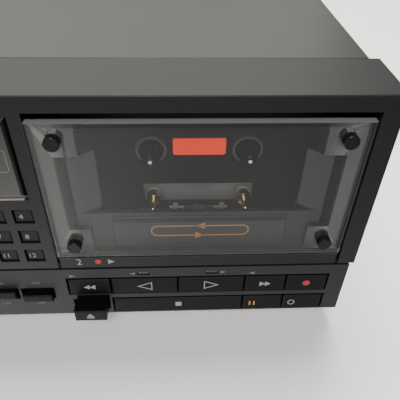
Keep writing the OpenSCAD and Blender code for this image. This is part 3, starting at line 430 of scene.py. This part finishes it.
def carriage_metal(name):
    """Pressed steel carriage with a black head block in its middle."""
    head_half_width = 7.2
    finish = Finish(name)
    off_middle = finish.millimetres()[0].size() - DOOR_X_MM
    lines = finish.noise(0.4, stretch=(12, 1, 1))
    steel = off_middle.size().above(head_half_width, 0.2)
    shade = finish.mix(steel, grey(0.05), grey(0.5, 0.02))
    finish.relief(lines, 0.08, 0.03, edge_mm=0.2)
    return finish.feed(base_color=shade, metallic=steel, roughness=0.28 + 0.14 * lines)


def lamp_plastic(name):
    """Translucent orange window of a lamp, with a faint and slightly uneven glow."""
    finish = Finish(name, emission_strength=0.62)
    cloud = finish.noise(9, detail=1)
    shade = finish.mix(cloud, (0.85, 0.04, 0.0), (0.95, 0.055, 0.0))
    finish.relief(cloud, 0.03, 0.1, edge_mm=0.4)
    return finish.feed(base_color=shade, emission_color=shade, roughness=0.3 + 0.1 * cloud)


def circuit_board(name):
    """Resin board with copper tracks under brown lacquer: bands of noise drawn out along X."""
    finish = Finish(name)
    tracks = finish.noise(3.0, detail=0, stretch=(14, 1, 1)).within(0.45, 0.55, 0.02)
    cloud = finish.noise(20, detail=3)
    shade = finish.mix(tracks, (0.10, 0.052, 0.02), (0.17, 0.09, 0.035))
    shade = finish.mix(cloud * 0.4, shade, (0.06, 0.04, 0.02))
    finish.relief(tracks, 0.15, 0.1)
    return finish.feed(base_color=shade, roughness=0.4 + 0.2 * cloud)


def socket_plastic(name):
    """Black socket moulding whose turned rims, far enough out on the right, are plated."""
    rear_wall_y = 144.0
    finish = Finish(name)
    x, y, _ = finish.millimetres()
    plated = y.above(rear_wall_y, 0.1) * x.above(0, 1)
    cloud = finish.noise(4)
    shade = finish.mix(plated, grey(0.015), (0.62, 0.58, 0.5))
    finish.relief(cloud, 0.04, 0.05)
    return finish.feed(base_color=shade, metallic=plated, roughness=0.3 + 0.15 * cloud)


FINISHES = {
    "case_paint": painted_steel("case_paint", grey(0.016, -0.01)),
    "zinc_steel": rolled_metal("zinc_steel", grey(0.36, 0.03), 0.32),
    "panel_black": panel_plastic("panel_black", grey(0.009, -0.03)),
    "lower_black": moulded_plastic("lower_black", grey(0.013, -0.03), 0.5, ior_level=0.35),
    "key_black": key_plastic("key_black"),
    "display_smoke": smoked_display("display_smoke"),
    "door_smoke": smoked_door("door_smoke"),
    "door_grey": door_plastic("door_grey"),
    "stud_black": glossy_plastic("stud_black", grey(0.012), 0.2, ior_level=0.15),
    "mechanism_black": moulded_plastic("mechanism_black", grey(0.004), 0.5, ior_level=0.2),
    "spindle_black": glossy_plastic("spindle_black", grey(0.002), 0.25, ior_level=0.1),
    "capstan_brass": capstan_metal("capstan_brass"),
    "head_steel": carriage_metal("head_steel"),
    "lamp_orange": lamp_plastic("lamp_orange"),
    "board_brown": circuit_board("board_brown"),
    "socket_black": socket_plastic("socket_black"),
    "foot_rubber": moulded_plastic("foot_rubber", grey(0.02), 0.75, grain_mm=0.6, ior_level=0.2),
    "screw_black": glossy_plastic("screw_black", grey(0.02), 0.3),
}
CREAM_INK = ink("cream_ink", (0.30, 0.29, 0.26))
PALE_INK = ink("pale_ink", (0.16, 0.155, 0.14))
AMBER_INK = ink("amber_ink", (0.52, 0.27, 0.085))
RED_INK = ink("red_ink", (0.42, 0.035, 0.025))
LENS = glossy_plastic("indicator_lens", (0.03, 0.031, 0.03), 0.1)
# Near white: a painted highlight on the spindles' rounded tips, carried by the small caps.
CAP_AND_HIGHLIGHT = glossy_plastic("cap_and_highlight", (0.85, 0.8, 0.7), 0.2)
RIM_PLASTIC = glossy_plastic("rim_plastic", grey(0.08), 0.3)

SLOT_OF = {part["node"]: part["material_slot"] for part in frame["record"]["subparts"]}
for node, solid in frame["nodes"].items():
    solid.data.materials.clear()
    solid.data.materials.append(FINISHES[SLOT_OF[node]])


# Shapes: closed loops of points in X and Z, in millimetres, and the solids carried along them

INK_MM = 0.04           # how far print stands off its face
SUNK_MM = 0.03          # how far a printed solid's back is sunk in its face
FACE_MM = 0.05          # points this near a node's foremost point belong to its front
WELD = 1e-5             # points of a figure nearer than this are one, in letter heights
FIGURE_CURVE_STEPS = 3
LENS_STEPS = 6


def corners(*points):
    return np.array(points, float)


def rectangle(width, height):
    """Four corners, half the width and half the height to each side of the middle."""
    return corners((-1, -1), (1, -1), (1, 1), (-1, 1)) * (width / 2, height / 2)


def arrowhead(width, height, hand):
    """A triangle that points to the right for hand = 1 and to the left for hand = -1."""
    return corners((-1, -1), (1, 0), (-1, 1)) * (hand * width / 2, height / 2)


def circle(diameter, count=40):
    """Points at equal turns, by the cosine and the sine of the turn."""
    turn = np.linspace(0, 2 * np.pi, count, endpoint=False)
    return np.stack([np.cos(turn), np.sin(turn)], 1) * diameter / 2


def rounded(width, height, radius, count=9):
    """A rectangle with quarter circles for corners: corner centres plus a point turning round
    each of them."""
    turn = np.linspace(0, np.pi / 2, count) + np.arange(4)[:, None] * np.pi / 2
    sign = corners((1, 1), (-1, 1), (-1, -1), (1, -1))[:, None]
    centre = sign * (width / 2 - radius, height / 2 - radius)
    return (centre + radius * np.stack([np.cos(turn), np.sin(turn)], 2)).reshape(-1, 2)


def inset(loop, stroke):
    """The loop moved inwards by stroke, each corner along its mitre: the sum of the two edges'
    normals over one plus their dot product. The sign of the loop's area tells which way is in."""
    after = np.roll(loop, -1, 0)
    edge = after - loop
    edge /= np.linalg.norm(edge, axis=1, keepdims=True)
    normal = np.stack([-edge[:, 1], edge[:, 0]], 1)
    before = np.roll(normal, 1, 0)
    mitre = (normal + before) / (1 + (normal * before).sum(1, keepdims=True))
    area = (loop[:, 0] * after[:, 1] - loop[:, 1] * after[:, 0]).sum()
    return loop + np.sign(area) * stroke * mitre


def swept(rows, closed):
    """Quads between successive rows of points, each row a closed loop. When closed, the last row
    meets the first; otherwise each end row is joined to its own middle. Gives points and faces."""
    rows = np.asarray(rows, float)
    count, around = rows.shape[:2]
    index = np.arange(count * around).reshape(count, around)
    beside = np.roll(index, -1, 1)
    after, after_beside = np.roll(index, -1, 0), np.roll(beside, -1, 0)
    last = count if closed else count - 1
    quads = np.stack([index, beside, after_beside, after], 2)[:last].reshape(-1, 4).tolist()
    points = rows.reshape(-1, 3)
    if closed:
        return points, quads
    poles = rows[[0, -1]].mean(1)
    first, second = count * around, count * around + 1
    fans = np.concatenate([
        np.stack([beside[0], index[0], np.full(around, first)], 1),
        np.stack([index[-1], beside[-1], np.full(around, second)], 1)])
    return np.concatenate([points, poles]), quads + fans.tolist()


def at_depth(loop, y):
    """The loop's points in space, all at the depth y."""
    return np.stack([loop[:, 0], np.full(len(loop), y), loop[:, 1]], 1)


def slab(loop, face, at=(0, 0), proud=INK_MM):
    """A filled mark: the loop carried from just inside the face to its front."""
    loop = loop + at
    return swept([at_depth(loop, face + SUNK_MM), at_depth(loop, face - proud)], closed=False)


def band(loop, stroke, face, at=(0, 0)):
    """An outlined mark: a four-sided section carried round the loop."""
    outer, inner = loop + at, inset(loop, stroke) + at
    back, front = face + SUNK_MM, face - INK_MM
    return swept([at_depth(outer, back), at_depth(outer, front),
                  at_depth(inner, front), at_depth(inner, back)], closed=True)


def turned(profile, face, at, closed, count):
    """A profile of radius and distance from the face, turned about an axis along Y through the
    point at. A closed profile makes a ring, and an open one is filled at its ends."""
    turn = circle(2.0, count)
    return swept([at_depth(turn * radius + at, face + y) for radius, y in profile], closed)


def dome(loop, face, rise, at):
    """A lens: the loop drawn in by the cosine, to the power 0.4, and raised by the sine, of an
    angle that goes up to nine tenths of a right angle."""
    angle = np.linspace(0, 0.45 * np.pi, LENS_STEPS)
    rows = [at_depth(loop * np.cos(a) ** 0.4 + at, face - rise * np.sin(a)) for a in angle]
    return swept([at_depth(loop + at, face + SUNK_MM), *rows], closed=False)


def numerals(text, height, face, at):
    """Plain figures of that height, with their middle at the point at, carried from just inside
    the face to its front."""
    curve = bpy.data.curves.new("figures", "FONT")
    curve.body = text
    curve.align_x = "CENTER"
    curve.resolution_u = FIGURE_CURVE_STEPS
    curve.extrude = 1.0
    holder = bpy.data.objects.new("figures", curve)
    scene.collection.objects.link(holder)
    bpy.context.view_layer.update()
    mesh = bpy.data.meshes.new_from_object(holder)
    shape = bmesh.new()
    shape.from_mesh(mesh)
    bmesh.ops.remove_doubles(shape, verts=shape.verts, dist=WELD)
    shape.verts.index_update()
    points = np.array([vertex.co for vertex in shape.verts])
    faces = [[vertex.index for vertex in polygon.verts] for polygon in shape.faces]
    shape.free()
    bpy.data.objects.remove(holder)
    bpy.data.curves.remove(curve)
    bpy.data.meshes.remove(mesh)
    flat = points[:, :2]
    low, high = flat.min(0), flat.max(0)
    flat = (flat - (low + high) / 2) * height / (high[1] - low[1]) + at
    depth = np.where(points[:, 2] > 0, face - INK_MM, face + SUNK_MM)
    return np.stack([flat[:, 0], depth, flat[:, 1]], 1), faces


def piece(name, solids, material, body):
    """Puts solids, given in millimetres, into one mesh in metres that rides on a body."""
    points, faces, start = [], [], 0
    for own_points, own_faces in solids:
        points.append(own_points * MM)
        faces += [[vertex + start for vertex in face] for face in own_faces]
        start += len(own_points)
    mesh = bpy.data.meshes.new(name)
    mesh.from_pydata(np.concatenate(points).tolist(), [], faces)
    shape = bmesh.new()
    shape.from_mesh(mesh)
    bmesh.ops.recalc_face_normals(shape, faces=shape.faces)
    shape.to_mesh(mesh)
    shape.free()
    mesh.materials.append(material)
    made = bpy.data.objects.new(name, mesh)
    scene.collection.objects.link(made)
    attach(made, body)


def box_mm(node):
    """A node's lowest and highest corners in millimetres."""
    return [np.array(corner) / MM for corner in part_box(node)]


def front_of(node):
    """The middle of a node's foremost face in X and Z, and that face's depth, in millimetres."""
    mesh = frame["nodes"][node].data
    points = np.empty(len(mesh.vertices) * 3)
    mesh.vertices.foreach_get("co", points)
    points = points.reshape(-1, 3) / MM
    foremost = points[:, 1].min()
    face = points[points[:, 1] < foremost + FACE_MM][:, [0, 2]]
    return (face.min(0) + face.max(0)) / 2, foremost


# Marks on the keys: each function gives a sign's solids on a face, with their middle at a point

WIND_ARROW_MM = (2.9, 3.3)
PLAY_ARROW_MM = (7.4, 5.9)
STOP_MM = (3.0, 3.1)
DOT_MM = 3.7
PAUSE_BAR_MM = (0.8, 3.1)
POWER_BAR_MM = (0.6, 3.2)
POWER_RING_MM = 3.2
FIGURE_MM = 2.5


def double_arrow(hand):
    """Two filled arrowheads, one behind the other."""
    def solids(face, at):
        return [slab(arrowhead(*WIND_ARROW_MM, hand), face, at + (step, 0))
                for step in (-1.35, 1.35)]
    return solids


def outlined_arrow(hand):
    """One arrowhead in outline."""
    def solids(face, at):
        return [band(arrowhead(*PLAY_ARROW_MM, hand), 0.5, face, at)]
    return solids


def stop_sign(face, at):
    """A filled square."""
    return [slab(rectangle(*STOP_MM), face, at)]


def eject_sign(face, at):
    """A filled triangle that points up, over a bar."""
    peak = corners((-1.9, -1.1), (1.9, -1.1), (0, 1.3))
    return [slab(peak, face, at + (0, 0.7)), slab(rectangle(3.8, 0.8), face, at - (0, 1.12))]


def record_sign(face, at):
    """A filled circle."""
    return [slab(circle(DOT_MM), face, at)]


def mute_sign(face, at):
    """A circle in outline."""
    return [band(circle(DOT_MM), 0.55, face, at)]


def pause_sign(face, at):
    """Two upright bars."""
    return [slab(rectangle(*PAUSE_BAR_MM), face, at + (step, 0)) for step in (-1.1, 1.1)]


def power_sign(face, at):
    """A bar to the left and a circle in outline to the right."""
    return [band(circle(POWER_RING_MM), 0.5, face, at + (3, 0)),
            slab(rectangle(*POWER_BAR_MM), face, at - (3, 0))]


def mark_key(node, sign, material, offset=(0, 0)):
    """Prints a sign on a key's front, moved off the middle by offset."""
    middle, face = front_of(node)
    piece("mark_" + node, sign(face, middle + offset), material, node)


for deck in "ab":
    for key, sign in (("rewind_key", double_arrow(-1)), ("reverse_key", outlined_arrow(-1)),
                      ("forward_key", outlined_arrow(1)), ("wind_key", double_arrow(1)),
                      ("stop_key", stop_sign), ("eject_bar", eject_sign)):
        mark_key(f"{key}_{deck}", sign, CREAM_INK)
mark_key("record_key_b", record_sign, RED_INK)
mark_key("mute_key_b", mute_sign, CREAM_INK, (-5.5, -0.6))
mark_key("pause_key_b", pause_sign, AMBER_INK, (-5.3, -0.6))
mark_key("power_key", power_sign, CREAM_INK)

for number in range(1, 13):
    node = f"number_key_{number}"
    middle, face = front_of(node)
    figure = numerals(str(number), FIGURE_MM, face, middle - (1.2, 0.1))
    piece("figure_" + node, [figure], CREAM_INK, node)


# Marks on the doors: a row on the lower strip, and a loop with two arrowheads on the raised panel

STRIP_FACE_MM = FRONT_Y_MM + 0.1
STRIP_Z_MM = BASE_Z_MM + 41.2
ROW_START_MM = -54.7            # the row's figure, from the door's middle
TO_RECORD_MM = 8.5              # from the figure to the record dot
TO_PLAY_MM = 14.5               # from the figure to the play arrow
LOOP_FACE_MM = FRONT_Y_MM + 6.0
LOOP_Z_MM = BASE_Z_MM + 54.2
LOOP_W_MM, LOOP_H_MM = 44.0, 6.2
LOOP_STROKE_MM = 0.55
LOOP_ARROW_IN_MM = 0.27         # from the loop's outer edge to the middle of its arrowheads

for deck, side, figure in (("a", -1, "1"), ("b", 1, "2")):
    body = f"door_{deck}"
    left = side * DOOR_X_MM + ROW_START_MM
    piece(f"strip_figure_{deck}", [numerals(figure, 3.6, STRIP_FACE_MM, (left, STRIP_Z_MM))],
          CREAM_INK, body)
    play = slab(arrowhead(3.0, 2.9, 1), STRIP_FACE_MM, (left + TO_PLAY_MM, STRIP_Z_MM))
    piece(f"strip_play_{deck}", [play], CREAM_INK, body)
    if deck == "b":
        dot = slab(circle(2.9), STRIP_FACE_MM, (left + TO_RECORD_MM, STRIP_Z_MM))
        piece(f"strip_record_{deck}", [dot], RED_INK, body)
    middle = np.array((side * DOOR_X_MM, LOOP_Z_MM))
    outline = rounded(LOOP_W_MM, LOOP_H_MM, LOOP_H_MM / 2 - 0.01)
    loop = [band(outline, LOOP_STROKE_MM, LOOP_FACE_MM, middle)]
    for hand in (-1, 1):
        rise = -hand * (LOOP_H_MM / 2 - LOOP_ARROW_IN_MM)
        loop.append(slab(arrowhead(4.2, 3.6, hand), LOOP_FACE_MM, middle + (0, rise)))
    piece(f"reverse_sign_{deck}", loop, AMBER_INK, body)


# Caps on the spindles and rims round their holes, as profiles of radius and distance along Y

MECHANISM_FACE_MM = FRONT_Y_MM + 26
CAP_MM = ((0.85, 0.05), (0.85, -0.15), (0.68, -0.4), (0.35, -0.55))
RIM_MM = ((6.9, 0), (6.7, -1.4), (5.9, -1.4), (5.6, -0.9), (5.6, 0))

rims = []
for deck in "ab":
    for hand in ("left", "right"):
        node = f"spindle_{hand}_{deck}"
        middle, tip = front_of(node)
        # Each cap's near-white colour is a painted highlight on the spindle's rounded tip.
        cap = turned(CAP_MM, tip, middle, closed=False, count=32)
        piece(f"tip_{node}", [cap], CAP_AND_HIGHLIGHT, node)
        rims.append(turned(RIM_MM, MECHANISM_FACE_MM + SUNK_MM, middle, closed=True, count=48))
piece("spindle_rims", rims, RIM_PLASTIC, "case")


# Marks and lenses on the lower panel

LOWER_FACE_MM = FRONT_Y_MM + 2.6
LAMP_OFFSETS_MM = (-26.55, 6.05)    # the direction lamps, from the door's middle
LAMP_Z_MM = BASE_Z_MM + 29.8
LAMP_FACE_MM = LOWER_FACE_MM + 0.9
LAMP_TO_ARROW_MM = 5.4
PLAY_OFFSETS_MM = (-60.2, 25.2)     # the small arrows over the outer keys, from the door's middle
PLAY_Z_MM = LAMP_Z_MM - 1.0
WORD_MM = 1.7
OFF_Z_MM, ON_Z_MM = BASE_Z_MM + 9.6, BASE_Z_MM + 24.6

legends, lenses = [], []
for side in (-1, 1):
    middle_x = side * DOOR_X_MM
    for offset, hand in zip(LAMP_OFFSETS_MM, (-1, 1)):
        lamp_x = middle_x + offset
        lenses.append(dome(rounded(5.8, 2.0, 0.5), LAMP_FACE_MM, 0.5, (lamp_x, LAMP_Z_MM)))
        legends.append(slab(arrowhead(2.4, 1.7, hand), LOWER_FACE_MM,
                            (lamp_x + hand * LAMP_TO_ARROW_MM, LAMP_Z_MM)))
    for offset, hand in zip(PLAY_OFFSETS_MM, (1, -1)):
        legends.append(slab(arrowhead(2.8, 1.9, hand), LOWER_FACE_MM,
                            (middle_x + offset, PLAY_Z_MM)))
piece("indicator_lenses", lenses, LENS, "case")

for lever in (1, 2):
    (lever_x, _), _ = front_of(f"selector_lever_{lever}")
    legends.append(numerals("OFF", WORD_MM, LOWER_FACE_MM, (lever_x, OFF_Z_MM)))
    legends.append(numerals("ON", WORD_MM, LOWER_FACE_MM, (lever_x, ON_Z_MM)))

TICK_COUNT = 11
TICK_START_DEG, TICK_STEP_DEG = 225, 27
TICK_FROM_MM, TICK_TO_MM, TICK_HALF_MM = 13.4, 14.8, 0.2
DIAL_INDEX_MM = (0.7, 4.5)
DIAL_INDEX_OUT_MM = 7.4         # from the dial's middle to the middle of its index
DIAL_INDEX_PROUD_MM = 0.01

(dial_x, dial_z), dial_face = front_of("level_dial")
for step in range(TICK_COUNT):
    turn = math.radians(TICK_START_DEG - TICK_STEP_DEG * step)
    aim = np.array((math.cos(turn), math.sin(turn)))
    across = TICK_HALF_MM * np.array((-aim[1], aim[0]))
    near, far = TICK_FROM_MM * aim, TICK_TO_MM * aim
    tick = np.array([near - across, far - across, far + across, near + across])
    legends.append(slab(tick, LOWER_FACE_MM, (dial_x, dial_z)))
piece("panel_legends", legends, PALE_INK, "case")
index = slab(rectangle(*DIAL_INDEX_MM), dial_face, (dial_x, dial_z + DIAL_INDEX_OUT_MM),
             proud=DIAL_INDEX_PROUD_MM)
piece("dial_index", [index], CREAM_INK, "level_dial")


# Print on the display's window: a rounded frame, and a scale with figures over it

FRAME_LOW_MM, FRAME_HIGH_MM = BASE_Z_MM + 91.5, BASE_Z_MM + 101.7
FRAME_W_MM, FRAME_RADIUS_MM, FRAME_STROKE_MM = 139.2, 1.6, 0.3
SCALE_START_MM, SCALE_STEP_MM, SCALE_COUNT = -60, 10, 13
SCALE_MARK_MM, SCALE_MARK_UP_MM = (0.35, 1.4), 3.0
SCALE_FIGURES = ("20", "10", "6", "3", "0", "3", "6")
SCALE_FIGURE_MM, SCALE_FIGURE_UP_MM = 1.8, 5.4

display_face = box_mm("display_window")[0][1]
outline = rounded(FRAME_W_MM, FRAME_HIGH_MM - FRAME_LOW_MM, FRAME_RADIUS_MM)
scale = [band(outline, FRAME_STROKE_MM, display_face, (0, (FRAME_LOW_MM + FRAME_HIGH_MM) / 2))]
for step in range(SCALE_COUNT):
    place = (SCALE_START_MM + SCALE_STEP_MM * step, FRAME_HIGH_MM + SCALE_MARK_UP_MM)
    scale.append(slab(rectangle(*SCALE_MARK_MM), display_face, place))
for step, figure in enumerate(SCALE_FIGURES):
    place = (SCALE_START_MM + 2 * SCALE_STEP_MM * step, FRAME_HIGH_MM + SCALE_FIGURE_UP_MM)
    scale.append(numerals(figure, SCALE_FIGURE_MM, display_face, place))
piece("display_print", scale, PALE_INK, "case")


# Floor and light

FLOOR_REACH_M = 6.0
BACK_TINT, FRONT_TINT = (1.0, 1.0, 0.94), (1.0, 0.99, 0.96)
ROOM_TINT = (1, 1, 0.98, 1)
# Each ramp's axis, a direction's shares along it where the ramp starts and ends, and its levels
ROOM_RAMPS = ((2, (-0.8, -0.43), (1.45, 0.15)), (0, (-0.27, 0.02), (2.0, 0.8)))


def floor():
    """A wide pale sheet under the deck: one square."""
    mesh = bpy.data.meshes.new("floor")
    sheet = rectangle(2, 2)[:, [0, 1, 1]] * (FLOOR_REACH_M, FLOOR_REACH_M, 0)
    mesh.from_pydata(sheet.tolist(), [], [(0, 1, 2, 3)])
    finish = Finish("floor", ior_level=0.1)
    cloud = finish.noise(300, detail=2)
    mesh.materials.append(finish.feed(
        base_color=finish.mix(cloud, grey(0.9), grey(0.92)), roughness=0.9))
    made = bpy.data.objects.new("floor", mesh)
    scene.collection.objects.link(made)
    made.visible_diffuse = False
    made.visible_glossy = False


def softbox(name, place, aim, width, height, power, tint):
    """A soft rectangular light at place that faces the point aim."""
    light = bpy.data.lights.new(name, "AREA")
    light.shape = "RECTANGLE"
    light.size, light.size_y = width, height
    light.energy = power
    light.color = tint
    made = bpy.data.objects.new(name, light)
    made.location = place
    direction = made.location - type(made.location)(aim)
    made.rotation_euler = direction.to_track_quat("Z", "Y").to_euler()
    scene.collection.objects.link(made)


def studio_world():
    """A dim room over a pale table: grey above, brighter well below the horizon and towards the
    left. Its level is the product of one ramp along Z and one along X."""
    world = bpy.data.worlds.new("studio")
    world.use_nodes = True
    room = Nodes(world.node_tree)
    shares = room.split(room.node("ShaderNodeTexCoord", out="Generated"))
    ramps = []
    for axis, (start, end), (first, last) in ROOM_RAMPS:
        ramps.append(room.node("ShaderNodeMapRange", sockets={
            "Value": shares[axis], "From Min": start, "From Max": end,
            "To Min": first, "To Max": last}))
    room.join(world.node_tree.nodes["Background"], {
        "Strength": ramps[0] * ramps[1], "Color": ROOM_TINT})
    scene.world = world


softbox("overhead", (0.1, 0.45, 1.4), (0.1, 0.0, 0.05), 1.2, 0.9, 48, BACK_TINT)
softbox("sheen", (-0.3, 1.9, 1.5), (0.1, 0.0, 0.1), 3.0, 1.6, 21, BACK_TINT)
softbox("front", (0.2, -1.3, 0.55), (0.13, -0.14, 0.08), 1.0, 0.7, 13, FRONT_TINT)
softbox("high_front", (0.02, -0.91, 1.05), (0.12, -0.14, 0.1), 0.35, 0.3, 8, FRONT_TINT)
studio_world()
floor()
